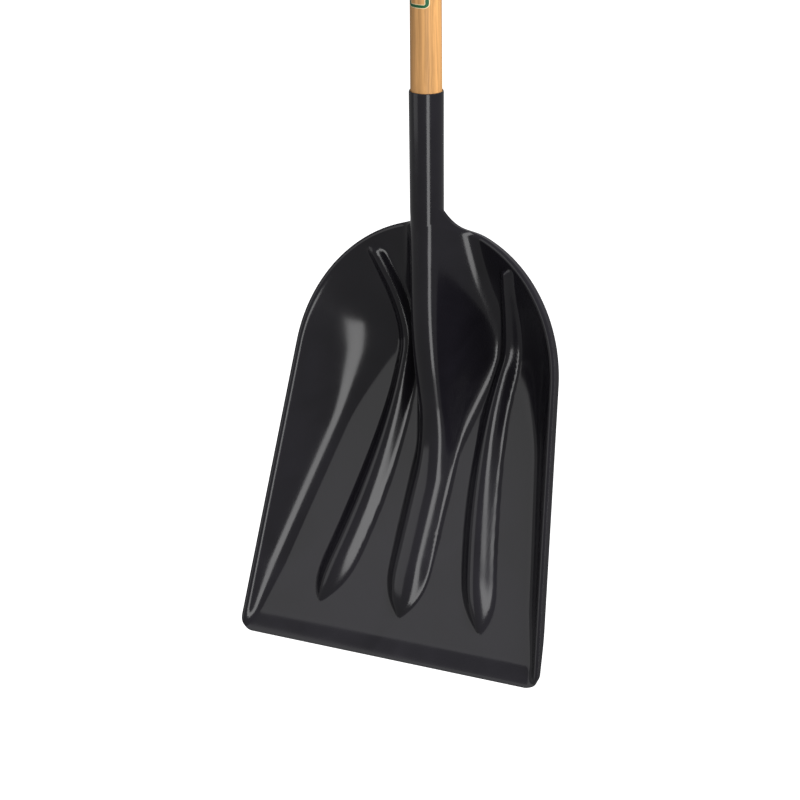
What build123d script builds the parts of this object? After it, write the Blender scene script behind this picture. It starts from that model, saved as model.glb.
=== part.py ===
from build123d import *
import os
from math import atan2, cos, hypot, pi, radians, sin, sqrt, tan

# Grain scoop shovel, standing upright on its handle axis.
#   +Z runs up the handle, +X to the right, the hollow of the scoop faces -Y,
#   and the origin is the middle of the grip bar.  All sizes in millimetres.
#   The blade is described in its rim plane: x across, y from the front edge up
#   to the back, n out of the hollow.  Heights on the handle are measured from
#   the point where its axis meets the rim plane; the last step moves every
#   piece down so that the grip bar is at the origin.

# ---- Driving dimensions -------------------------------------------------

# rim outline, seen square on
BACK_RADIUS = 158.5
BACK_CENTRE = 291.5
SIDE_TAPER = radians(4.8)
CORNER_RADIUS = 15.0
WEB_RISE = 17.0
WEB_REACH = 20.0

# hollow of the pan
LIP_WIDTH = 6.0
LIP_CROWN = 1.2
LIP_SKIRT = 4.0
FRONT_DEPTH = 4.5
DEPTH_SLOPE = 0.195
FRONT_RAMP = 22.0
WALL_SLOPE = 1.17
WALL_BOW = 0.26
WALL_BOW_REACH = 70.0
BACK_EASING = 0.72
WALL_FILLET = 15.0
HEEL_FILLET = 34.0
SHEET = 3.4

# pressed ribs
RIB_TIP = 42.0
RIB_TOP = 416.0
SIDE_RIB_HEIGHT = 12.0
CENTRE_RIB_HEIGHT = 14.0
CENTRE_RIB_HALF = 25.5

# socket and the ridge it makes in the pan
SOCKET_LEAN = radians(13.8)
SOCKET_FOOT = 332.0
RIDGE_RADIUS = 17.0
RIDGE_FLANK = radians(67)
NOSE_SLOPE = 0.44
NOSE_BLEND = 8.0
RIDGE_BLEND = 26.0
WEB_BLEND = 20.0
SOCKET_MOUTH = 258.5
SOCKET_END = 38.0
MOUTH_RADIUS = 17.8
RIM_RADIUS = 17.25
BURIED_RADIUS = 15.6
FLARE_HEIGHT = 100.0
RIM_HEIGHT = 134.0

# handle
SHAFT_RADIUS = 16.2
SHAFT_TIP_RADIUS = 12.5
SHAFT_FOOT = 42.0
SHAFT_TOP = 712.0
TIP_CHAMFER = 2.0

# grip
SLEEVE_BOTTOM = 640.0
SLEEVE_RADIUS = 18.2
CROTCH = 722.0
ARM_X = 53.0
ARM_BEND = 752.0
ARM_DEEP = 24.0
ARM_WIDE = 13.6
YOKE_SHEET = 1.6
PARTING = 0.4
BAR_HEIGHT = 806.0
BAR_RADIUS = 13.5
BAR_BELLY = 15.5
EYE_RADIUS = 15.0
ROD_RADIUS = 3.2
WASHER_RADIUS = 10.0
WASHER_THICK = 1.6
RIVET_RADIUS = 2.6
RIVET_HEAD = 5.2
RIVET_HEIGHTS = (658.0, 690.0)

# fixing screw at the back of the socket
SCREW_HEIGHT = 214.0
SCREW_RADIUS = 2.4
SCREW_HEAD = 4.8
SCREW_LENGTH = 24.0

# how finely the blade surface is taken
ROUND_STEPS = 72
INWARD_STEPS = 24
MIDDLE_TRIM = 0.1


# ---- Blade surface ------------------------------------------------------

def clamp(value, low=0.0, high=1.0):
    return max(low, min(high, value))


def ease(value):
    t = clamp(value)
    return t * t * (3 - 2 * t)


def swell(value, power):
    return 1 - (1 - clamp(value)) ** power


def blend_max(a, b, width):
    overlap = max(width - abs(a - b), 0.0) / width
    return max(a, b) + overlap * overlap * width / 4


def blend_min(a, b, width):
    return -blend_max(-a, -b, width)


def half_width(y):
    return (BACK_RADIUS - (y - BACK_CENTRE) * sin(SIDE_TAPER)) / cos(SIDE_TAPER)


def rim_distance(x, y):
    """Distance in from the side and back of the rim."""
    across = abs(x)
    along = y - BACK_CENTRE
    if atan2(along, across) > SIDE_TAPER:
        return BACK_RADIUS - hypot(across, along)
    return BACK_RADIUS - across * cos(SIDE_TAPER) - along * sin(SIDE_TAPER)


def pan_height(x, y):
    """Hollow of the pan: deep at the heel, running out to the front edge."""
    depth = FRONT_DEPTH + DEPTH_SLOPE * y
    away = hypot(x, y - BACK_CENTRE)
    turn = max(0.0, y - BACK_CENTRE) / max(away, 1.0)
    back = turn * turn * clamp(away / 60)
    inside = max(rim_distance(x, y) - LIP_WIDTH, 0.0)
    bow = WALL_BOW * inside * (1 - inside / (2 * WALL_BOW_REACH))
    fillet = min(WALL_FILLET + HEEL_FILLET * ease((y - 220) / 130), 0.8 * depth)
    slope = WALL_SLOPE - BACK_EASING * back
    side = blend_max(depth - slope * inside - (1 - back) * bow, 0.0, fillet) / depth
    front = clamp(1 - max(y - 2.0, 0.0) / FRONT_RAMP) ** 1.6
    rise = side + front - side * front
    return -depth * (1 - rise)


def side_rib_line(y):
    lower = 39.5 * clamp((270 - y) / 228, 0, 2) ** 1.8
    upper = 21.5 * clamp((y - 270) / 142, 0, 2) ** 2
    return 58.5 + lower + upper


def rib_section(offset, half, height, crown=2):
    q = clamp(offset / max(half, 0.01))
    return height * (1 - q ** crown) ** 1.6


def side_rib(x, y):
    lean = (side_rib_line(y + 1) - side_rib_line(y - 1)) / 2
    offset = abs(abs(x) - side_rib_line(y)) / sqrt(1 + lean * lean)
    half = swell((y - RIB_TIP) / 58, 3.0) * (20.5 - 7 * ease((y - 130) / 190) - 3 * ease((y - 320) / 90))
    fade = (1 - 0.35 * ease((y - 330) / 90)) * ease((RIB_TOP - y) / 10)
    return rib_section(offset, half, SIDE_RIB_HEIGHT * swell((y - RIB_TIP) / 60, 2.2) * fade)


def centre_rib(x, y):
    half = CENTRE_RIB_HALF * swell((y - RIB_TIP) / 62, 3.0)
    fade = 1 - ease((y - 285) / 50)
    return rib_section(abs(x), half, CENTRE_RIB_HEIGHT * swell((y - RIB_TIP) / 62, 2.2) * fade, crown=3)


def ridge_height(x, y):
    """Round ridge over the socket, diving to the floor below its end."""
    nose = -2 - NOSE_SLOPE * (288 - y) - RIDGE_RADIUS
    axis = blend_min((y - SOCKET_FOOT) * tan(SOCKET_LEAN), nose, NOSE_BLEND)
    shoulder = RIDGE_RADIUS * sin(RIDGE_FLANK)
    across = min(abs(x), shoulder)
    crown = sqrt(RIDGE_RADIUS ** 2 - across ** 2)
    return axis + crown - (abs(x) - across) * tan(RIDGE_FLANK)


def blade_height(x, y):
    pressed = pan_height(x, y) + side_rib(x, y) + centre_rib(x, y)
    inside = rim_distance(x, y)
    if 0 < inside < LIP_WIDTH:
        pressed += LIP_CROWN * sin(pi * inside / LIP_WIDTH) * clamp(y / 12)
    return blend_max(pressed, ridge_height(x, y), RIDGE_BLEND + WEB_BLEND * ease((y - 270) / 100))


def blade_normal(x, y, step=0.5):
    slope_x = (blade_height(x + step, y) - blade_height(x - step, y)) / (2 * step)
    slope_y = (blade_height(x, y + step) - blade_height(x, y - step)) / (2 * step)
    size = sqrt(1 + slope_x ** 2 + slope_y ** 2)
    return -slope_x / size, -slope_y / size, 1 / size


def to_object(x, y, n):
    """From the rim plane to the upright frame on the handle axis."""
    up = y - SOCKET_FOOT
    lean = SOCKET_LEAN
    return Vector(x, up * sin(lean) - n * cos(lean), up * cos(lean) + n * sin(lean))


# ---- Blade outline ------------------------------------------------------

def rim_path():
    """Right half of the rim: front middle, corner, side, back, socket, evenly spaced."""
    corner_x = half_width(CORNER_RADIUS) - CORNER_RADIUS / cos(SIDE_TAPER)
    points = [(0.0, 0.0)]
    for i in range(61):
        turn = -pi / 2 + (pi / 2 + SIDE_TAPER) * i / 60
        points.append((corner_x + CORNER_RADIUS * cos(turn), CORNER_RADIUS * (1 + sin(turn))))
    for i in range(301):
        turn = SIDE_TAPER + (pi / 2 - SIDE_TAPER) * i / 300
        x = BACK_RADIUS * cos(turn)
        web = WEB_RISE * clamp(1 - (x - RIDGE_RADIUS) / WEB_REACH) ** 3.2
        points.append((x, BACK_CENTRE + BACK_RADIUS * sin(turn) + web))
    lengths = [0.0]
    for (x0, y0), (x1, y1) in zip(points, points[1:]):
        lengths.append(lengths[-1] + hypot(x1 - x0, y1 - y0))
    path = []
    leg = 0
    for i in range(ROUND_STEPS + 1):
        target = lengths[-1] * i / ROUND_STEPS
        while leg < len(points) - 2 and lengths[leg + 1] < target:
            leg += 1
        share = clamp((target - lengths[leg]) / (lengths[leg + 1] - lengths[leg]))
        x = points[leg][0] + (points[leg + 1][0] - points[leg][0]) * share
        y = points[leg][1] + (points[leg + 1][1] - points[leg][1]) * share
        path.append((x, y))
    path[-1] = (0.0, path[-1][1])
    return path


def surface_rows(outer):
    """Rows of blade points from the rim in to the middle line."""
    rim = rim_path()
    spine_low = 110.0
    spine_high = BACK_CENTRE
    rows = []
    for i, (rim_x, rim_y) in enumerate(rim):
        share = i / (len(rim) - 1)
        spine_y = spine_low + (spine_high - spine_low) * share
        row = []
        for j in range(INWARD_STEPS + 1):
            t = j / INWARD_STEPS
            x = rim_x * (1 - t)
            y = rim_y + (spine_y - rim_y) * t
            n = blade_height(x, y)
            if outer:
                nx, ny, nn = blade_normal(x, y)
                inside = min(rim_distance(x, y), y)
                free = ease(inside / LIP_WIDTH)
                skirt = LIP_SKIRT * (1 - free) * ease(y / 60)
                nx, ny = nx * free, ny * free
                if j == INWARD_STEPS or i in (0, len(rim) - 1):
                    nx = 0.0
                nn = sqrt(1 - nx * nx - ny * ny)
                row.append(to_object(x - SHEET * nx, y - SHEET * ny, n - SHEET * nn - skirt))
            else:
                row.append(to_object(x, y, n))
        rows.append(row)
    return rows


# ---- Pieces -------------------------------------------------------------

def on_axis(height):
    return Location((0, 0, height))


def cone(bottom, top, low_radius, high_radius):
    """Round bar or cone on the handle axis between two heights."""
    if abs(low_radius - high_radius) < 1e-6:
        blank = Cylinder(low_radius, top - bottom)
    else:
        blank = Cone(low_radius, high_radius, top - bottom)
    return on_axis((bottom + top) / 2) * blank


def edge_near(face, start, end):
    """The edge of a face that runs between two corner points."""
    def miss(edge):
        a, b = edge @ 0, edge @ 1
        return min((a - start).length + (b - end).length, (a - end).length + (b - start).length)
    return min(face.edges(), key=miss)


def make_sheet():
    """Moulded pan as one closed skin: the right half is made, trimmed flat and mirrored."""
    inner_rows = surface_rows(outer=False)
    outer_rows = surface_rows(outer=True)
    fairing = dict(tol=0.05, smoothing=(1, 1, 1), max_deg=5)
    inner = Face.make_surface_from_array_of_points(inner_rows, **fairing)
    outer = Face.make_surface_from_array_of_points(outer_rows, **fairing)
    corners = [(0, 0), (-1, 0), (-1, -1), (0, -1)]
    faces = [inner, outer]
    for (i, j), (k, m) in zip(corners, corners[1:] + corners[:1]):
        inner_edge = edge_near(inner, inner_rows[i][j], inner_rows[k][m])
        outer_edge = edge_near(outer, outer_rows[i][j], outer_rows[k][m])
        faces.append(Face.make_surface_from_curves(inner_edge, outer_edge))
    half = Solid(Shell(faces))
    half = half & Location((150 + MIDDLE_TRIM, 0, 0)) * Box(300, 400, 1200)
    half = Location((-MIDDLE_TRIM, 0, 0)) * half
    return half + half.mirror(Plane.YZ)


def make_blade():
    socket = cone(RIM_HEIGHT, SOCKET_MOUTH, RIM_RADIUS, MOUTH_RADIUS)
    flare = cone(FLARE_HEIGHT, RIM_HEIGHT, BURIED_RADIUS, RIM_RADIUS)
    buried = cone(SOCKET_END, FLARE_HEIGHT, BURIED_RADIUS, BURIED_RADIUS)
    blade = make_sheet() + (socket + flare + buried)
    blade -= shaft_blank()
    blade -= screw_hole()
    return blade


def shaft_blank():
    tip = cone(SHAFT_FOOT, SOCKET_MOUTH, SHAFT_TIP_RADIUS, SHAFT_RADIUS)
    upper = cone(SOCKET_MOUTH, SHAFT_TOP, SHAFT_RADIUS, SHAFT_RADIUS)
    return tip + upper


def screw_hole():
    place = Location((0, MOUTH_RADIUS + 0.5 - SCREW_LENGTH / 2, SCREW_HEIGHT))
    return place * Cylinder(SCREW_RADIUS, SCREW_LENGTH, rotation=(90, 0, 0))


def rivet_holes():
    pins = [Location((0, 0, z)) * Cylinder(RIVET_RADIUS, 60, rotation=(90, 0, 0)) for z in RIVET_HEIGHTS]
    return pins[0] + pins[1]


def make_shaft():
    shaft = shaft_blank()
    shaft = chamfer(shaft.edges().group_by(Axis.Z)[-1], TIP_CHAMFER)
    shaft -= screw_hole()
    shaft -= rivet_holes()
    return shaft


def domed_head(radius, flatness, reach):
    """Round head facing +Y, its dome starting at the given reach, with a foot to bed on a tube."""
    dome = Sphere(radius) & Location((0, radius, 0)) * Box(20, 2 * radius, 20)
    dome = Location((0, reach, 0)) * scale(dome, by=(1, flatness, 1))
    foot = Location((0, reach - 0.75, 0)) * Cylinder(radius, 1.5, rotation=(90, 0, 0))
    return dome + foot


def make_screw():
    """Dome headed slotted screw, its head bedded on the back of the socket."""
    head = domed_head(SCREW_HEAD, 0.55, MOUTH_RADIUS - 0.3)
    slot = Location((0, MOUTH_RADIUS + 2.6, 0)) * Box(2 * SCREW_HEAD + 1, 3.2, 1.2)
    head = on_axis(SCREW_HEIGHT) * (head - slot)
    return screw_hole() + (head - cone(RIM_HEIGHT, SOCKET_MOUTH, RIM_RADIUS, MOUTH_RADIUS))


def arm_path(side):
    with BuildLine(Plane.XZ) as path:
        Spline((side * 8, CROTCH - 24), (side * (ARM_X - 4), ARM_BEND + 8), (side * ARM_X, BAR_HEIGHT),
               tangents=((side * 0.45, 1), (0, 1)))
    return path.line


def arm_body(side, inset):
    """Flattened oval arm of the yoke, curving out to the grip eye."""
    path = arm_path(side)
    start = Plane(origin=path @ 0, x_dir=(0, 1, 0), z_dir=path % 0)
    section = start * Ellipse(ARM_DEEP / 2 - inset, ARM_WIDE / 2 - inset)
    return sweep(section, path=path)


def yoke_blank(inset):
    """Whole yoke before it is parted; the inset gives the hollow inside."""
    body = cone(SLEEVE_BOTTOM - (1 if inset else 0), CROTCH - 8 - inset, SLEEVE_RADIUS - inset,
                SLEEVE_RADIUS - inset)
    for side in (-1, 1):
        body += arm_body(side, inset)
        eye = Cylinder(EYE_RADIUS - inset, ARM_WIDE - 2 * inset, rotation=(0, 90, 0))
        body += Location((side * ARM_X, 0, BAR_HEIGHT)) * eye
    return body


def make_yoke_halves():
    """Two pressed halves, front and back, parted on the plane of the handle."""
    yoke = yoke_blank(0) - yoke_blank(YOKE_SHEET)
    yoke -= cone(SLEEVE_BOTTOM - 5, SHAFT_TOP, SHAFT_RADIUS, SHAFT_RADIUS)
    yoke -= rivet_holes()
    yoke -= Location((0, 0, BAR_HEIGHT)) * Cylinder(ROD_RADIUS, 160, rotation=(0, 90, 0))
    middle = (SLEEVE_BOTTOM + BAR_HEIGHT) / 2
    half_space = Box(200, 100, 260)
    halves = []
    for side in (-1, 1):
        place = Location((0, side * (50 + PARTING / 2), middle))
        halves.append(yoke & place * half_space)
    return halves


def make_rivets():
    """Domed rivets through sleeve and shaft."""
    rivets = []
    for height in RIVET_HEIGHTS:
        pin = Cylinder(RIVET_RADIUS, 2 * SLEEVE_RADIUS, rotation=(90, 0, 0))
        head = domed_head(RIVET_HEAD, 0.5, SLEEVE_RADIUS) - cone(-20, 20, SLEEVE_RADIUS, SLEEVE_RADIUS)
        pin += head + head.mirror(Plane.XZ)
        rivets.append(on_axis(height) * pin)
    return Compound(children=rivets)


def make_grip_bar():
    """Turned bar, fuller in the middle, bored for the rod."""
    half = ARM_X - ARM_WIDE / 2
    with BuildSketch(Plane.XZ) as profile:
        with BuildLine():
            Polyline((-half, ROD_RADIUS), (-half, BAR_RADIUS - 1.5))
            Polyline((-half, BAR_RADIUS - 1.5), (-half + 1.5, BAR_RADIUS))
            ThreePointArc((-half + 1.5, BAR_RADIUS), (0, BAR_BELLY), (half - 1.5, BAR_RADIUS))
            Polyline((half - 1.5, BAR_RADIUS), (half, BAR_RADIUS - 1.5), (half, ROD_RADIUS), (-half, ROD_RADIUS))
        make_face()
    return on_axis(BAR_HEIGHT) * revolve(profile.sketch, axis=Axis.X)


def make_rod():
    """Rod through the grip with spread heads outside the washers."""
    reach = ARM_X + ARM_WIDE / 2 + WASHER_THICK
    rod = Cylinder(ROD_RADIUS, 2 * reach, rotation=(0, 90, 0))
    for side in (-1, 1):
        head = Sphere(6.0) & Location((side * 6.0, 0, 0)) * Box(12, 20, 20)
        head = scale(head, by=(0.5, 1, 1))
        rod += Location((side * reach, 0, 0)) * head
    return on_axis(BAR_HEIGHT) * rod


def make_washers():
    washers = []
    for side in (-1, 1):
        ring = Cylinder(WASHER_RADIUS, WASHER_THICK, rotation=(0, 90, 0))
        ring -= Cylinder(ROD_RADIUS, 10, rotation=(0, 90, 0))
        middle = ARM_X + ARM_WIDE / 2 + WASHER_THICK / 2
        washers.append(Location((side * middle, 0, BAR_HEIGHT)) * ring)
    return Compound(children=washers)


yoke_front, yoke_back = make_yoke_halves()
pieces = {
    "scoop_blade": make_blade(),
    "handle_shaft": make_shaft(),
    "socket_screw": make_screw(),
    "yoke_front": yoke_front,
    "yoke_back": yoke_back,
    "yoke_rivets": make_rivets(),
    "grip_bar": make_grip_bar(),
    "grip_rod": make_rod(),
    "rod_washers": make_washers(),
}

os.makedirs("parts", exist_ok=True)
for name, piece in pieces.items():
    placed = piece.moved(Location((0, 0, -BAR_HEIGHT)))
    export_step(placed, os.path.join("parts", name + ".step"))
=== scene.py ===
from math import cos, pi, radians, sin, tan

import bpy
import numpy as np
from bpy.props import FloatProperty, FloatVectorProperty, IntProperty, PointerProperty
from mathutils import Euler, Matrix, Vector


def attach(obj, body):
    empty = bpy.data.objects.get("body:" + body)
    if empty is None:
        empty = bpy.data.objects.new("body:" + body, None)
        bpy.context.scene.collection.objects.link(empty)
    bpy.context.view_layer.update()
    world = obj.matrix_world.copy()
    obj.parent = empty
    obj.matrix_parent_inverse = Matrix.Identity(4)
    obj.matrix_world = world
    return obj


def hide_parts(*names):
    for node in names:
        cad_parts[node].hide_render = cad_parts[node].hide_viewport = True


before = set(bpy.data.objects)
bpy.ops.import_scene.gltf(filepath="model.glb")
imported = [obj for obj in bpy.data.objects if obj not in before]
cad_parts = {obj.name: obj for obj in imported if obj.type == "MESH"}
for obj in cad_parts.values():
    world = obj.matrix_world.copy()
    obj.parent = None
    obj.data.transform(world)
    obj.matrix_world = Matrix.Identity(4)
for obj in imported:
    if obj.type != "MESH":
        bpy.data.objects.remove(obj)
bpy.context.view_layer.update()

bl_info = {
    "name": "Grain Scoop Shovel",
    "version": (1, 0, 0),
    "blender": (4, 5, 0),
    "location": "View3D > Sidebar > Scoop",
    "description": "Builds a moulded grain scoop on a wooden handle with a D grip",
    "category": "Object",
}

MM = 0.001


# ---------------------------------------------------------------- settings

class BladeSizes(bpy.types.PropertyGroup):
    back_radius: FloatProperty(
        name="Back radius", description="Radius of the round back of the rim, in millimetres",
        default=158.3, min=100, max=250)
    back_centre: FloatProperty(
        name="Back centre", description="Distance from the front edge to the centre of the round back",
        default=291.5, min=150, max=400)
    side_taper: FloatProperty(
        name="Side taper", description="How far each side leans in from the front to the back",
        default=radians(4.8), subtype="ANGLE")
    corner_radius: FloatProperty(
        name="Corner radius", description="Radius of the two front corners, in millimetres",
        default=15.0, min=4, max=40)
    sheet: FloatProperty(
        name="Wall", description="Thickness of the moulded wall, in millimetres",
        default=3.4, min=2, max=6)
    around: IntProperty(
        name="Steps around", description="Mesh steps along half of the rim", default=290, min=60, max=400)
    inward: IntProperty(
        name="Steps inward", description="Mesh steps from the rim to the middle", default=72, min=20, max=120)


class HandleSizes(bpy.types.PropertyGroup):
    shaft_radius: FloatProperty(
        name="Handle radius", description="Radius of the wooden handle, in millimetres",
        default=16.2, min=12, max=22)


class ScoopFinish(bpy.types.PropertyGroup):
    plastic: FloatVectorProperty(
        name="Plastic", description="Colour of the moulded scoop", subtype="COLOR",
        size=3, default=(0.0075, 0.0068, 0.0095), min=0, max=1)
    wood: FloatVectorProperty(
        name="Wood", description="Middle colour of the handle", subtype="COLOR",
        size=3, default=(0.66, 0.345, 0.125), min=0, max=1)
    band: FloatVectorProperty(
        name="Printed frame", description="Colour of the plain frame printed on the handle",
        subtype="COLOR", size=3, default=(0.006, 0.095, 0.035), min=0, max=1)
    steel: FloatVectorProperty(
        name="Steel", description="Colour of the pressed yoke", subtype="COLOR",
        size=3, default=(0.55, 0.56, 0.57), min=0, max=1)


# ---------------------------------------------------------------- helpers

GRIP_HEIGHT = 806.0


def deselect():
    if bpy.context.mode != "OBJECT":
        bpy.ops.object.mode_set(mode="OBJECT")
    bpy.ops.object.select_all(action="DESELECT")


def take(obj):
    deselect()
    obj.select_set(True)
    bpy.context.view_layer.objects.active = obj


def apply_place(obj):
    take(obj)
    bpy.ops.object.transform_apply(location=True, rotation=True, scale=True)


def new_material(name):
    material = bpy.data.materials.new(name)
    material.use_nodes = True
    shader = material.node_tree.nodes["Principled BSDF"]
    return material, material.node_tree, shader


# ---------------------------------------------------------------- blade form

LIP_WIDTH = 6.0
LIP_CROWN = 1.2
LIP_SKIRT = 4.0
FRONT_DEPTH = 4.5
DEPTH_SLOPE = 0.195
FRONT_RAMP = 22.0
WALL_SLOPE = 1.17
WALL_BOW = 0.26
WALL_BOW_REACH = 70.0
BACK_EASING = 0.72
WALL_FILLET = 15.0
HEEL_FILLET = 34.0
WEB_RISE = 17.0
WEB_REACH = 20.0
RIB_TIP = 42.0
RIB_TOP = 416.0
SIDE_RIB_HEIGHT = 12.0
CENTRE_RIB_HEIGHT = 14.0
CENTRE_RIB_HALF = 25.5
SOCKET_LEAN = radians(13.8)
SOCKET_FOOT = 332.0
RIDGE_RADIUS = 17.0
RIDGE_FLANK = radians(67)
NOSE_SLOPE = 0.44
NOSE_BLEND = 8.0
RIDGE_BLEND = 26.0
WEB_BLEND = 20.0
SOCKET_END = 37.0
SOCKET_MOUTH = 258.5
MOUTH_RADIUS = 17.8
BURIED_RADIUS = 15.9
BORE_RADIUS = 16.3


def ease(value):
    t = np.clip(value, 0, 1)
    return t * t * (3 - 2 * t)


def swell(value, power):
    return 1 - (1 - np.clip(value, 0, 1)) ** power


def blend_max(a, b, width):
    overlap = np.maximum(width - np.abs(a - b), 0) / width
    return np.maximum(a, b) + overlap * overlap * width / 4


def blend_min(a, b, width):
    return -blend_max(-a, -b, width)


class BladeForm:
    """The moulded surface as a height over the plane of its rim, in millimetres."""

    def __init__(self, sizes):
        self.radius = sizes.back_radius
        self.centre = sizes.back_centre
        self.taper = sizes.side_taper
        self.corner = sizes.corner_radius

    def half_width(self, y):
        return (self.radius - (y - self.centre) * sin(self.taper)) / cos(self.taper)

    def rim_distance(self, x, y):
        across, along = np.abs(x), y - self.centre
        side = self.radius - across * cos(self.taper) - along * sin(self.taper)
        back = self.radius - np.hypot(across, along)
        return np.where(np.arctan2(along, across) > self.taper, back, side)

    def pan(self, x, y):
        depth = FRONT_DEPTH + DEPTH_SLOPE * y
        away = np.hypot(x, y - self.centre)
        turn = np.maximum(0, y - self.centre) / np.maximum(away, 1)
        back = turn * turn * np.clip(away / 60, 0, 1)
        inside = np.maximum(self.rim_distance(x, y) - LIP_WIDTH, 0)
        bow = WALL_BOW * inside * (1 - inside / (2 * WALL_BOW_REACH))
        fillet = np.minimum(WALL_FILLET + HEEL_FILLET * ease((y - 220) / 130), 0.8 * depth)
        slope = WALL_SLOPE - BACK_EASING * back
        side = blend_max(depth - slope * inside - (1 - back) * bow, 0.0, fillet) / depth
        front = np.clip(1 - np.maximum(y - 2, 0) / FRONT_RAMP, 0, 1) ** 1.6
        return -depth * (1 - side - front + side * front)

    def rib_line(self, y):
        lower = 39.5 * np.clip((270 - y) / 228, 0, 2) ** 1.8
        upper = 21.5 * np.clip((y - 270) / 142, 0, 2) ** 2
        return 58.5 + lower + upper

    def section(self, offset, half, height, crown=2):
        q = np.clip(offset / np.maximum(half, 0.01), 0, 1)
        return height * (1 - q ** crown) ** 1.6

    def side_rib(self, x, y):
        lean = (self.rib_line(y + 1) - self.rib_line(y - 1)) / 2
        offset = np.abs(np.abs(x) - self.rib_line(y)) / np.sqrt(1 + lean * lean)
        half = swell((y - RIB_TIP) / 58, 3.0) * (20.5 - 7 * ease((y - 130) / 190) - 3 * ease((y - 320) / 90))
        fade = (1 - 0.35 * ease((y - 330) / 90)) * ease((RIB_TOP - y) / 10)
        return self.section(offset, half, SIDE_RIB_HEIGHT * swell((y - RIB_TIP) / 60, 2.2) * fade)

    def centre_rib(self, x, y):
        half = CENTRE_RIB_HALF * swell((y - RIB_TIP) / 62, 3.0)
        fade = 1 - ease((y - 285) / 50)
        height = CENTRE_RIB_HEIGHT * swell((y - RIB_TIP) / 62, 2.2) * fade
        return self.section(np.abs(x), half, height, crown=3)

    def ridge(self, x, y):
        nose = -2 - NOSE_SLOPE * (288 - y) - RIDGE_RADIUS
        axis = blend_min((y - SOCKET_FOOT) * tan(SOCKET_LEAN), nose, NOSE_BLEND)
        shoulder = RIDGE_RADIUS * sin(RIDGE_FLANK)
        across = np.minimum(np.abs(x), shoulder)
        crown = np.sqrt(RIDGE_RADIUS ** 2 - across ** 2)
        return axis + crown - (np.abs(x) - across) * tan(RIDGE_FLANK)

    def height(self, x, y):
        pressed = self.pan(x, y) + self.side_rib(x, y) + self.centre_rib(x, y)
        inside = self.rim_distance(x, y)
        bead = LIP_CROWN * np.sin(pi * np.clip(inside / LIP_WIDTH, 0, 1)) * np.clip(y / 12, 0, 1)
        return blend_max(pressed + bead, self.ridge(x, y), RIDGE_BLEND + WEB_BLEND * ease((y - 270) / 100))

    def normal(self, x, y, step=0.5):
        slope_x = (self.height(x + step, y) - self.height(x - step, y)) / (2 * step)
        slope_y = (self.height(x, y + step) - self.height(x, y - step)) / (2 * step)
        size = np.sqrt(1 + slope_x ** 2 + slope_y ** 2)
        return -slope_x / size, -slope_y / size, 1 / size

    def rim_path(self, steps):
        """Right half of the rim, from the front middle round to the socket, evenly spaced."""
        corner_x = self.half_width(self.corner) - self.corner / cos(self.taper)
        front = np.stack([np.linspace(0, corner_x, 80, endpoint=False), np.zeros(80)], 1)
        turn = np.linspace(-pi / 2, self.taper, 60, endpoint=False)
        corner = np.stack([corner_x + self.corner * np.cos(turn), self.corner * (1 + np.sin(turn))], 1)
        low, high = self.corner * (1 + sin(self.taper)), self.centre + self.radius * sin(self.taper)
        y = np.linspace(low, high, 160, endpoint=False)
        side = np.stack([self.half_width(y), y], 1)
        turn = np.linspace(self.taper, pi / 2, 300)
        x = self.radius * np.cos(turn)
        web = WEB_RISE * np.clip(1 - (x - RIDGE_RADIUS) / WEB_REACH, 0, 1) ** 3.2
        back = np.stack([x, self.centre + self.radius * np.sin(turn) + web], 1)
        path = np.concatenate([front, corner, side, back])
        length = np.concatenate([[0], np.cumsum(np.hypot(*np.diff(path, axis=0).T))])
        even = np.linspace(0, length[-1], steps + 1)
        path = np.stack([np.interp(even, length, path[:, k]) for k in (0, 1)], 1)
        path[0] = (0, 0)
        path[-1, 0] = 0
        return path

    def grid(self, around, inward):
        rim = self.rim_path(around)
        share = np.linspace(0, 1, around + 1)[:, None]
        spine = 110 + (self.centre - 110) * share
        t = (np.linspace(0, 1, inward + 1)[None, :]) ** 1.25
        x = rim[:, :1] * (1 - t)
        y = rim[:, 1:] + (spine - rim[:, 1:]) * t
        return x, y

    def faces(self, sizes):
        """Inner and outer points of the right half, each as rows from the rim inwards."""
        x, y = self.grid(sizes.around, sizes.inward)
        n = self.height(x, y)
        nx, ny, nn = self.normal(x, y)
        free = ease(np.minimum(self.rim_distance(x, y), y) / LIP_WIDTH)
        skirt = LIP_SKIRT * (1 - free) * ease(y / 60)
        nx, ny = nx * free, ny * free
        nx[:, -1] = nx[0] = nx[-1] = 0
        nn = np.sqrt(1 - nx * nx - ny * ny)
        inner = to_object(x, y, n)
        outer = to_object(x - sizes.sheet * nx, y - sizes.sheet * ny, n - sizes.sheet * nn - skirt)
        return inner, outer


def to_object(x, y, n):
    """From the rim plane to the upright frame, in metres, with the grip at the origin."""
    up = y - SOCKET_FOOT
    across_hollow = up * sin(SOCKET_LEAN) - n * cos(SOCKET_LEAN)
    height = up * cos(SOCKET_LEAN) + n * sin(SOCKET_LEAN) - GRIP_HEIGHT
    return np.stack([x, across_hollow, height], -1) * MM


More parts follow.
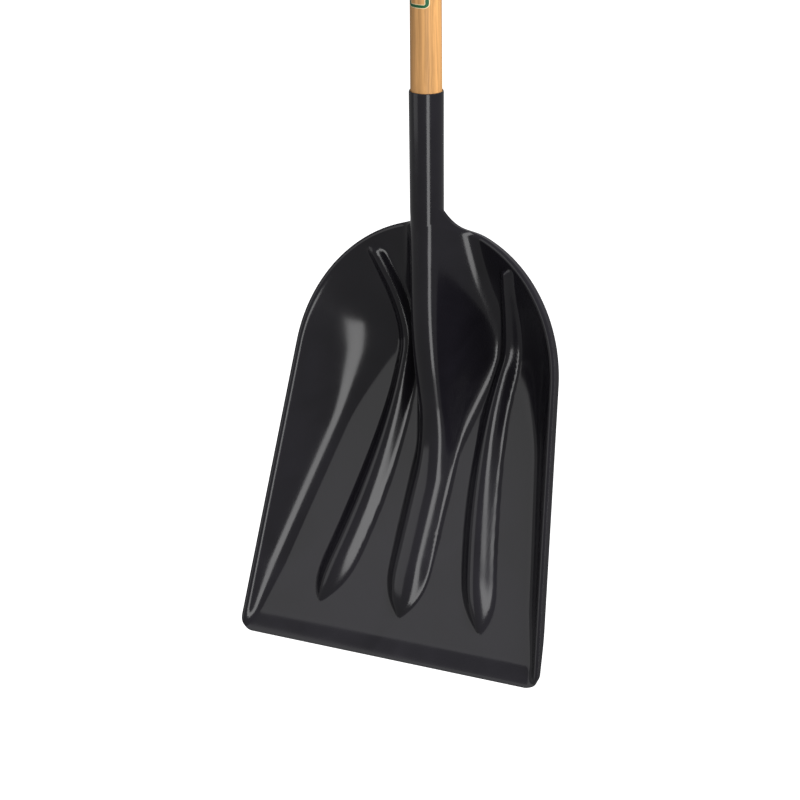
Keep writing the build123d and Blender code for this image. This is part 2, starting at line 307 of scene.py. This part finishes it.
def skin_mesh(name, inner, outer):
    """Closed mesh from the two faces of the right half and their mirror images."""
    rows, columns = inner.shape[:2]
    flip = np.array([-1, 1, 1])
    sheets = [inner, outer, inner * flip, outer * flip]
    points = np.concatenate([s.reshape(-1, 3) for s in sheets])
    index = np.arange(rows * columns).reshape(rows, columns)
    a, b = index[:-1, :-1].ravel(), index[1:, :-1].ravel()
    c, d = index[1:, 1:].ravel(), index[:-1, 1:].ravel()
    quads = np.stack([a, b, c, d], 1)
    size = rows * columns
    rim = np.stack([index[:-1, 0], index[:-1, 0] + size, index[1:, 0] + size, index[1:, 0]], 1)
    right = np.concatenate([quads, quads[:, ::-1] + size, rim])
    left = right[:, ::-1] + 2 * size
    mesh = bpy.data.meshes.new(name)
    mesh.from_pydata(points.tolist(), [], np.concatenate([right, left]).tolist())
    obj = bpy.data.objects.new(name, mesh)
    bpy.context.scene.collection.objects.link(obj)
    take(obj)
    bpy.ops.object.mode_set(mode="EDIT")
    bpy.ops.mesh.select_all(action="SELECT")
    bpy.ops.mesh.remove_doubles(threshold=0.00002)
    bpy.ops.mesh.normals_make_consistent(inside=False)
    bpy.ops.object.mode_set(mode="OBJECT")
    bpy.ops.object.shade_smooth_by_angle(angle=radians(50))
    return obj


def socket_tube(name):
    """Moulded socket: a tapered tube with a rounded lip, open at the top and buried in the ridge."""
    flare = [(BURIED_RADIUS, SOCKET_END), (BURIED_RADIUS, 100), (16.75, 121), (17.25, 134), (17.5, 200)]
    lip = [(MOUTH_RADIUS, SOCKET_MOUTH - 1.8), (MOUTH_RADIUS - 0.2, SOCKET_MOUTH - 0.6),
           (MOUTH_RADIUS - 0.6, SOCKET_MOUTH), (MOUTH_RADIUS - 1.0, SOCKET_MOUTH - 0.2),
           (BORE_RADIUS + 0.2, SOCKET_MOUTH - 1.0), (BORE_RADIUS, SOCKET_MOUTH - 4)]
    bore = [(BORE_RADIUS, SOCKET_MOUTH - 10.5)]
    return turned(name, flare + lip + bore, (0, 0, -GRIP_HEIGHT), angle=40, capped=True)


def turned(name, profile, centre, axis="Z", steps=96, angle=35, capped=False):
    """A piece turned on a lathe from radius and height pairs in millimetres.

    A profile that doesn't meet the axis or itself is capped at both ends.
    """
    mesh = bpy.data.meshes.new(name)
    mesh.from_pydata([(r * MM, 0, z * MM) for r, z in profile],
                     [(i, i + 1) for i in range(len(profile) - 1)], [])
    obj = bpy.data.objects.new(name, mesh)
    bpy.context.scene.collection.objects.link(obj)
    take(obj)
    bpy.ops.object.mode_set(mode="EDIT")
    bpy.ops.mesh.select_all(action="SELECT")
    bpy.ops.mesh.spin(steps=steps, angle=2 * pi, center=(0, 0, 0), axis=(0, 0, 1))
    bpy.ops.mesh.select_all(action="SELECT")
    bpy.ops.mesh.remove_doubles(threshold=0.00001)
    if capped:
        bpy.ops.mesh.select_all(action="DESELECT")
        bpy.ops.mesh.select_non_manifold()
        bpy.ops.mesh.edge_face_add()
        bpy.ops.mesh.select_all(action="SELECT")
    bpy.ops.mesh.normals_make_consistent(inside=False)
    bpy.ops.object.mode_set(mode="OBJECT")
    bpy.ops.object.shade_smooth_by_angle(angle=radians(angle))
    if axis == "X":
        obj.rotation_euler = Euler((0, pi / 2, 0))
    obj.location = Vector(centre) * MM
    apply_place(obj)
    return obj


# ---------------------------------------------------------------- finishes

def object_coordinates(tree, scale):
    """Object coordinates stretched by a Mapping node."""
    coordinate = tree.nodes.new("ShaderNodeTexCoord")
    mapping = tree.nodes.new("ShaderNodeMapping")
    mapping.inputs["Scale"].default_value = scale
    tree.links.new(coordinate.outputs["Object"], mapping.inputs["Vector"])
    return mapping.outputs["Vector"]


def noise(tree, vector, scale, detail=4.0, roughness=0.5, distortion=0.0):
    node = tree.nodes.new("ShaderNodeTexNoise")
    node.inputs["Scale"].default_value = scale
    node.inputs["Detail"].default_value = detail
    node.inputs["Roughness"].default_value = roughness
    node.inputs["Distortion"].default_value = distortion
    tree.links.new(vector, node.inputs["Vector"])
    return node.outputs["Fac"]


def ramp(tree, source, stops):
    node = tree.nodes.new("ShaderNodeValToRGB")
    elements = node.color_ramp.elements
    while len(elements) < len(stops):
        elements.new(0.5)
    for element, (place, colour) in zip(elements, stops):
        element.position = place
        element.color = (*colour, 1) if not isinstance(colour, float) else (colour, colour, colour, 1)
    tree.links.new(source, node.inputs["Fac"])
    return node.outputs["Color"]


def bump(tree, shader, height, strength, distance):
    node = tree.nodes.new("ShaderNodeBump")
    node.inputs["Strength"].default_value = strength
    node.inputs["Distance"].default_value = distance
    tree.links.new(height, node.inputs["Height"])
    tree.links.new(node.outputs["Normal"], shader.inputs["Normal"])


def scaled(colour, factor):
    return tuple(min(1.0, c * factor) for c in colour)


def plastic_material(colour):
    """Glossy black moulded plastic with a faint grain, flow marks and uneven polish."""
    material, tree, shader = new_material("moulded black plastic")
    shader.inputs["Specular IOR Level"].default_value = 0.5
    shader.inputs["IOR"].default_value = 1.5
    vector = object_coordinates(tree, (1, 1, 1))
    clouds = noise(tree, vector, 14, 3, 0.55, 0.6)
    fine = noise(tree, vector, 900, 2, 0.6)
    tree.links.new(ramp(tree, clouds, [(0.3, scaled(colour, 0.8)), (0.75, scaled(colour, 1.25))]),
                   shader.inputs["Base Color"])
    tree.links.new(ramp(tree, clouds, [(0.3, 0.13), (0.7, 0.19)]), shader.inputs["Roughness"])
    bump(tree, shader, fine, 0.08, 0.00006)
    return material


def wood_material(name, colour, stretch, band=None):
    """Lacquered ash or hickory: long grain, pores and broad bands of tone."""
    material, tree, shader = new_material(name)
    vector = object_coordinates(tree, stretch)
    broad = noise(tree, vector, 30, 3, 0.5, 0.4)
    grain = noise(tree, vector, 260, 6, 0.65, 0.8)
    pores = noise(tree, vector, 900, 2, 0.5)
    base = ramp(tree, broad, [(0.30, scaled(colour, 0.66)), (0.5, colour), (0.72, scaled(colour, 1.3))])
    dark = ramp(tree, grain, [(0.38, 0.55), (0.60, 1.0)])
    mix = tree.nodes.new("ShaderNodeMix")
    mix.data_type = "RGBA"
    mix.blend_type = "MULTIPLY"
    mix.inputs["Factor"].default_value = 0.75
    tree.links.new(base, mix.inputs["A"])
    tree.links.new(dark, mix.inputs["B"])
    result = mix.outputs["Result"]
    if band is not None:
        result = printed_frame(tree, result, band)
    tree.links.new(result, shader.inputs["Base Color"])
    tree.links.new(ramp(tree, pores, [(0.3, 0.58), (0.7, 0.46)]), shader.inputs["Roughness"])
    shader.inputs["Specular IOR Level"].default_value = 0.3
    shader.inputs["Coat Weight"].default_value = 0.06
    shader.inputs["Coat Roughness"].default_value = 0.18
    bump(tree, shader, pores, 0.25, 0.0001)
    return material


def math_node(tree, operation, a, b):
    node = tree.nodes.new("ShaderNodeMath")
    node.operation = operation
    for socket, value in zip(node.inputs, (a, b)):
        if isinstance(value, (int, float)):
            socket.default_value = value
        else:
            tree.links.new(value, socket)
    return node.outputs[0]


FRAME_BOTTOM = 346.5
FRAME_TOP = 396.0
FRAME_HALF = 12.0
FRAME_CORNER = 5.0
FRAME_INSET = 1.9
CREAM_HALF = 2.1
LINE_HALF = 1.5
CREAM = (0.80, 0.66, 0.40)


def printed_frame(tree, under, colour):
    """A plain rounded frame printed on the front of the handle, cream edge and green line."""
    coordinate = tree.nodes.new("ShaderNodeTexCoord")
    split = tree.nodes.new("ShaderNodeSeparateXYZ")
    tree.links.new(coordinate.outputs["Object"], split.inputs[0])
    middle = ((FRAME_BOTTOM + FRAME_TOP) / 2 - GRIP_HEIGHT) * MM
    radius = FRAME_CORNER * MM
    across = math_node(tree, "ABSOLUTE", split.outputs["X"], 0)
    dx = math_node(tree, "SUBTRACT", across, FRAME_HALF * MM - radius)
    up = math_node(tree, "ABSOLUTE", math_node(tree, "SUBTRACT", split.outputs["Z"], middle), 0)
    dz = math_node(tree, "SUBTRACT", up, (FRAME_TOP - FRAME_BOTTOM) / 2 * MM - radius)
    ox = math_node(tree, "MAXIMUM", dx, 0)
    oz = math_node(tree, "MAXIMUM", dz, 0)
    square = math_node(tree, "ADD", math_node(tree, "MULTIPLY", ox, ox), math_node(tree, "MULTIPLY", oz, oz))
    outer = math_node(tree, "SQRT", square, 0)
    inner = math_node(tree, "MINIMUM", math_node(tree, "MAXIMUM", dx, dz), 0)
    edge = math_node(tree, "SUBTRACT", math_node(tree, "ADD", outer, inner), radius)
    line = math_node(tree, "ABSOLUTE", math_node(tree, "ADD", edge, FRAME_INSET * MM), 0)
    front = math_node(tree, "LESS_THAN", split.outputs["Y"], 0)
    result = under
    for width, tint in ((CREAM_HALF * MM, CREAM), (LINE_HALF * MM, tuple(colour))):
        mask = math_node(tree, "MULTIPLY", math_node(tree, "LESS_THAN", line, width), front)
        mix = tree.nodes.new("ShaderNodeMix")
        mix.data_type = "RGBA"
        mix.inputs["B"].default_value = (*tint, 1)
        tree.links.new(mask, mix.inputs["Factor"])
        tree.links.new(result, mix.inputs["A"])
        result = mix.outputs["Result"]
    return result


def steel_material(name, colour, rough):
    """Drawn steel with fine scratches and slight tarnish."""
    material, tree, shader = new_material(name)
    shader.inputs["Metallic"].default_value = 1.0
    vector = object_coordinates(tree, (1, 1, 0.12))
    scratch = noise(tree, vector, 700, 3, 0.6)
    tarnish = noise(tree, object_coordinates(tree, (1, 1, 1)), 60, 4, 0.6)
    tree.links.new(ramp(tree, tarnish, [(0.3, scaled(colour, 0.78)), (0.7, scaled(colour, 1.08))]),
                   shader.inputs["Base Color"])
    polish = ramp(tree, scratch, [(0.3, rough - 0.08), (0.7, rough + 0.08)])
    tree.links.new(polish, shader.inputs["Roughness"])
    bump(tree, shader, scratch, 0.15, 0.00005)
    return material


def dress(obj, material):
    obj.data.materials.clear()
    obj.data.materials.append(material)


# ---------------------------------------------------------------- operators

class SCOOP_OT_blade(bpy.types.Operator):
    """Makes the moulded pan with its ribs, rim and handle socket"""
    bl_idname = "scoop.blade"
    bl_label = "Blade"

    def execute(self, context):
        sizes, finish = context.scene.scoop_blade, context.scene.scoop_finish
        inner, outer = BladeForm(sizes).faces(sizes)
        blade = skin_mesh("blade", inner, outer)
        tube = socket_tube("socket")
        deselect()
        tube.select_set(True)
        blade.select_set(True)
        context.view_layer.objects.active = blade
        bpy.ops.object.join()
        dress(blade, plastic_material(tuple(finish.plastic)))
        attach(blade, "root")
        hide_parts("scoop_blade")
        return {"FINISHED"}


SHAFT_FOOT = 42.0
SHAFT_TOP = 712.0
SHAFT_TIP_RADIUS = 12.5
TOP_CHAMFER = 2.0


class SCOOP_OT_handle(bpy.types.Operator):
    """Makes the turned wooden handle"""
    bl_idname = "scoop.handle"
    bl_label = "Handle"

    def execute(self, context):
        radius = context.scene.scoop_handle.shaft_radius
        finish = context.scene.scoop_finish
        foot = [(0, SHAFT_FOOT), (SHAFT_TIP_RADIUS - 0.5, SHAFT_FOOT), (SHAFT_TIP_RADIUS, SHAFT_FOOT + 0.5)]
        straight = [(radius, height) for height in (SOCKET_MOUTH, 300, 400, 500, 600, SHAFT_TOP - TOP_CHAMFER)]
        profile = foot + straight + [(radius - TOP_CHAMFER, SHAFT_TOP), (0, SHAFT_TOP)]
        handle = turned("handle", profile, (0, 0, -GRIP_HEIGHT), steps=128)
        wood = wood_material("handle wood", tuple(finish.wood), (1, 1, 0.035), tuple(finish.band))
        dress(handle, wood)
        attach(handle, "root")
        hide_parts("handle_shaft")
        return {"FINISHED"}


BAR_HALF = 46.2
BAR_RADIUS = 13.5
BAR_BELLY = 15.5
ROD_RADIUS = 3.2


class SCOOP_OT_grip(bpy.types.Operator):
    """Makes the turned grip bar and finishes the steel yoke, rod, washers and fasteners"""
    bl_idname = "scoop.grip"
    bl_label = "Grip"

    def execute(self, context):
        finish = context.scene.scoop_finish
        end = [(BAR_RADIUS, BAR_HALF - 1.6), (BAR_RADIUS - 0.5, BAR_HALF - 0.4), (BAR_RADIUS - 1.5, BAR_HALF),
               (ROD_RADIUS, BAR_HALF)]
        belly = []
        for i in range(-8, 9):
            share = i / 8
            belly.append((BAR_BELLY - (BAR_BELLY - BAR_RADIUS) * share ** 2, share * (BAR_HALF - 2.2)))
        start = [(radius, -along) for radius, along in reversed(end)]
        bar = turned("bar", start + belly + end + start[:1], (0, 0, 0), axis="X")
        dress(bar, wood_material("grip wood", scaled(tuple(finish.wood), 0.94), (0.035, 1, 1)))
        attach(bar, "root")
        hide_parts("grip_bar")
        pressed = steel_material("pressed steel", tuple(finish.steel), 0.34)
        bright = steel_material("fastener steel", scaled(tuple(finish.steel), 1.12), 0.26)
        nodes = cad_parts
        for name in ("yoke_front", "yoke_back"):
            dress(nodes[name], pressed)
        for name in ("yoke_rivets", "grip_rod", "rod_washers", "socket_screw"):
            dress(nodes[name], bright)
        return {"FINISHED"}


def area_light(name, place, target, size, power):
    """A rectangular softbox, sizes in metres and power in watts, turned to face the target."""
    bpy.ops.object.light_add(type="AREA", location=place)
    lamp = bpy.context.object
    lamp.name = name
    lamp.data.shape = "RECTANGLE"
    lamp.data.size, lamp.data.size_y = size
    lamp.data.energy = power
    lamp.rotation_euler = (Vector(target) - Vector(place)).to_track_quat("-Z", "Y").to_euler()
    return lamp


CAMERA_RIGHT = Vector((0.82903, 0.55916, -0.0068))
CAMERA_UP = Vector((-0.15597, 0.24289, 0.95743))
CAMERA_TARGET = Vector((-0.01241, -0.03268, -0.86664))
CAMERA_RANGE = 7.6438
CAMERA_SENSOR = 36.0
CAMERA_LENS = 338.99
FLOOR_SIZE = 40.0
FLOOR_HEIGHT = -3.9
LIGHT_RANGE = 2.2
SURROUND = 0.3

# name, turn from the camera in degrees, lift in metres, width and height in metres, power in watts
SOFTBOXES = (
    ("front strip", 12, -0.6, (0.75, 2.9), 26),
    ("left softbox", -72, 0.3, (1.3, 1.7), 5),
    ("high softbox", 30, 3.0, (1.2, 1.2), 260),
)


class SCOOP_OT_stage(bpy.types.Operator):
    """Makes the pale floor, the soft studio lights and the camera"""
    bl_idname = "scoop.stage"
    bl_label = "Studio"

    def execute(self, context):
        bpy.ops.mesh.primitive_plane_add(size=FLOOR_SIZE, location=(0, 0, FLOOR_HEIGHT))
        floor = context.object
        floor.name = "floor"
        apply_place(floor)
        floor.visible_glossy = False
        floor.visible_diffuse = False
        material, tree, shader = new_material("pale floor")
        shader.inputs["Base Color"].default_value = (0.9, 0.9, 0.9, 1)
        shader.inputs["Roughness"].default_value = 0.9
        shader.inputs["Emission Color"].default_value = (1, 1, 1, 1)
        shader.inputs["Emission Strength"].default_value = 1.0
        dress(floor, material)
        context.scene.view_settings.view_transform = "Standard"
        world = bpy.data.worlds.new("studio")
        world.use_nodes = True
        context.scene.world = world
        tree = world.node_tree
        dim = tree.nodes["Background"]
        dim.inputs["Color"].default_value = (1, 1, 1, 1)
        dim.inputs["Strength"].default_value = SURROUND
        white = tree.nodes.new("ShaderNodeBackground")
        white.inputs["Color"].default_value = (1, 1, 1, 1)
        white.inputs["Strength"].default_value = 1.0
        path = tree.nodes.new("ShaderNodeLightPath")
        mix = tree.nodes.new("ShaderNodeMixShader")
        tree.links.new(path.outputs["Is Camera Ray"], mix.inputs["Fac"])
        tree.links.new(dim.outputs["Background"], mix.inputs[1])
        tree.links.new(white.outputs["Background"], mix.inputs[2])
        tree.links.new(mix.outputs["Shader"], tree.nodes["World Output"].inputs["Surface"])

        right, up = CAMERA_RIGHT.normalized(), CAMERA_UP.normalized()
        back = right.cross(up).normalized()
        up = back.cross(right).normalized()
        bpy.ops.object.camera_add(location=CAMERA_TARGET + back * CAMERA_RANGE)
        camera = context.object
        camera.name = "camera"
        camera.rotation_euler = Matrix((right, up, back)).transposed().to_euler()
        camera.data.sensor_width = CAMERA_SENSOR
        camera.data.lens = CAMERA_LENS
        camera.data.clip_end = 100
        context.scene.camera = camera

        for name, turn, lift, size, power in SOFTBOXES:
            aside = back * cos(radians(turn)) + right * sin(radians(turn))
            area_light(name, CAMERA_TARGET + aside * LIGHT_RANGE + up * lift, CAMERA_TARGET, size, power)
        return {"FINISHED"}


class SCOOP_PT_panel(bpy.types.Panel):
    bl_label = "Grain Scoop"
    bl_idname = "SCOOP_PT_panel"
    bl_space_type = "VIEW_3D"
    bl_region_type = "UI"
    bl_category = "Scoop"

    def draw(self, context):
        layout = self.layout
        scene = context.scene
        for group, names in ((scene.scoop_blade, BladeSizes.__annotations__),
                             (scene.scoop_handle, HandleSizes.__annotations__),
                             (scene.scoop_finish, ScoopFinish.__annotations__)):
            box = layout.box()
            for name in names:
                box.prop(group, name)
        for operator in (SCOOP_OT_blade, SCOOP_OT_handle, SCOOP_OT_grip, SCOOP_OT_stage):
            layout.operator(operator.bl_idname)


CLASSES = (BladeSizes, HandleSizes, ScoopFinish, SCOOP_OT_blade, SCOOP_OT_handle, SCOOP_OT_grip,
           SCOOP_OT_stage, SCOOP_PT_panel)


def register():
    for cls in CLASSES:
        bpy.utils.register_class(cls)
    bpy.types.Scene.scoop_blade = PointerProperty(type=BladeSizes)
    bpy.types.Scene.scoop_handle = PointerProperty(type=HandleSizes)
    bpy.types.Scene.scoop_finish = PointerProperty(type=ScoopFinish)


def unregister():
    del bpy.types.Scene.scoop_finish
    del bpy.types.Scene.scoop_handle
    del bpy.types.Scene.scoop_blade
    for cls in reversed(CLASSES):
        bpy.utils.unregister_class(cls)


def main():
    register()
    bpy.ops.scoop.blade()
    bpy.ops.scoop.handle()
    bpy.ops.scoop.grip()
    bpy.ops.scoop.stage()


if __name__ == "__main__":
    main()
